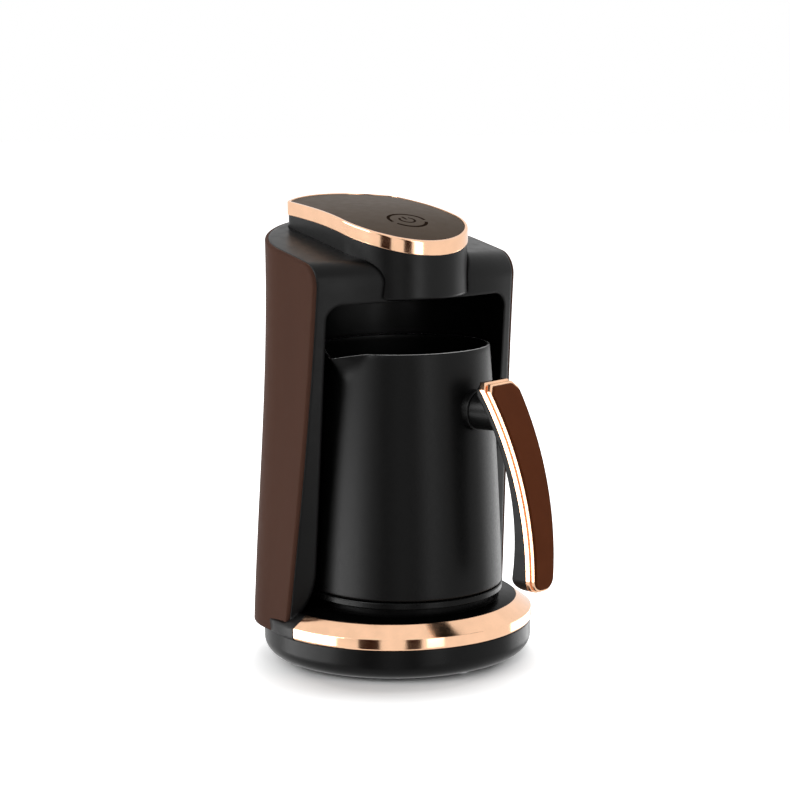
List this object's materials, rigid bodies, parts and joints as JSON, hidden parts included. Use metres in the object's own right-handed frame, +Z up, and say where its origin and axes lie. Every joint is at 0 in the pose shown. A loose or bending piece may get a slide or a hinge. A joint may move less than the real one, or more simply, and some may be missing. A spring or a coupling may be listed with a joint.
{
  "type": "electric turkish coffee maker",
  "caption": "Electric Turkish coffee maker: round heated base, rear column with an overhanging touch-control head, and a lift-off coated pot with a slat handle.",
  "frame": {"origin": "centre of the round base, on the worktop that the feet stand on", "axes": "+Z up, -Y the front where the pot is taken out, +X to the right of somebody facing the front"},
  "size_m": [0.151, 0.1833, 0.2536],
  "materials": {
    "black_plastic": "satin",
    "brown_panel": "satin",
    "rose_gold": "polished",
    "pot_coating": "matte",
    "cast_plate": "satin",
    "steel": "brushed",
    "heater_tube": "satin",
    "rubber": "matte",
    "silicone": "matte",
    "circuit_board": "satin",
    "component_black": "satin",
    "component_amber": "satin",
    "insulator": "matte",
    "light_guide": "gloss",
    "lens": "gloss",
    "wire_jacket": "matte"
  },
  "bodies": {
    "machine": {"base_cover": "black_plastic", "base_trim_ring": "rose_gold", "base_tub": "black_plastic", "board_screws": "steel", "bracket_screws": "steel", "buzzer": "component_black", "capacitor": "component_black", "column_shell": "black_plastic", "column_skin": "brown_panel", "cord_gland": "rubber", "cover_screws": "steel", "deck_ring": "black_plastic", "deck_screws": "steel", "foam_sensor_board": "circuit_board", "foam_sensor_lens": "lens", "head_cable": "wire_jacket", "head_shell": "black_plastic", "heater_bracket": "steel", "heater_leads": "wire_jacket", "heater_posts": "steel", "heating_element": "heater_tube", "hotplate": "cast_plate", "icon_leds": "light_guide", "icon_light_guide": "light_guide", "main_board": "circuit_board", "nose_underside": "black_plastic", "plate_seal": "silicone", "plunger_guide": "insulator", "plunger_spring": "steel", "post_screws": "steel", "power_relay": "component_black", "rubber_feet": "rubber", "terminal_block": "insulator", "thermostat": "steel", "top_panel": "brown_panel", "top_trim": "rose_gold", "touch_board": "circuit_board", "transformer": "component_amber"},
    "pot": {"pot_body": "pot_coating", "pot_base_ring": "steel", "handle_boss": "pot_coating", "handle_stem": "black_plastic", "handle_bolt": "steel", "handle_grip": "black_plastic", "handle_trim": "rose_gold", "handle_panel": "brown_panel"},
    "plunger": {"plunger": "steel"}
  },
  "joints": [
    {"name": "pot_lift", "type": "slide", "parent": "machine", "child": "pot", "axis": [0, -0.9976, 0.0698], "range_m": [0, 0.14]},
    {"name": "plunger_press", "type": "slide", "parent": "machine", "child": "plunger", "axis": [0, 0, 1], "range_m": [-0.002, 0], "stiffness_N_per_m": 300, "springref_m": 0.002, "deforming": ["plunger_spring"]}
  ]
}
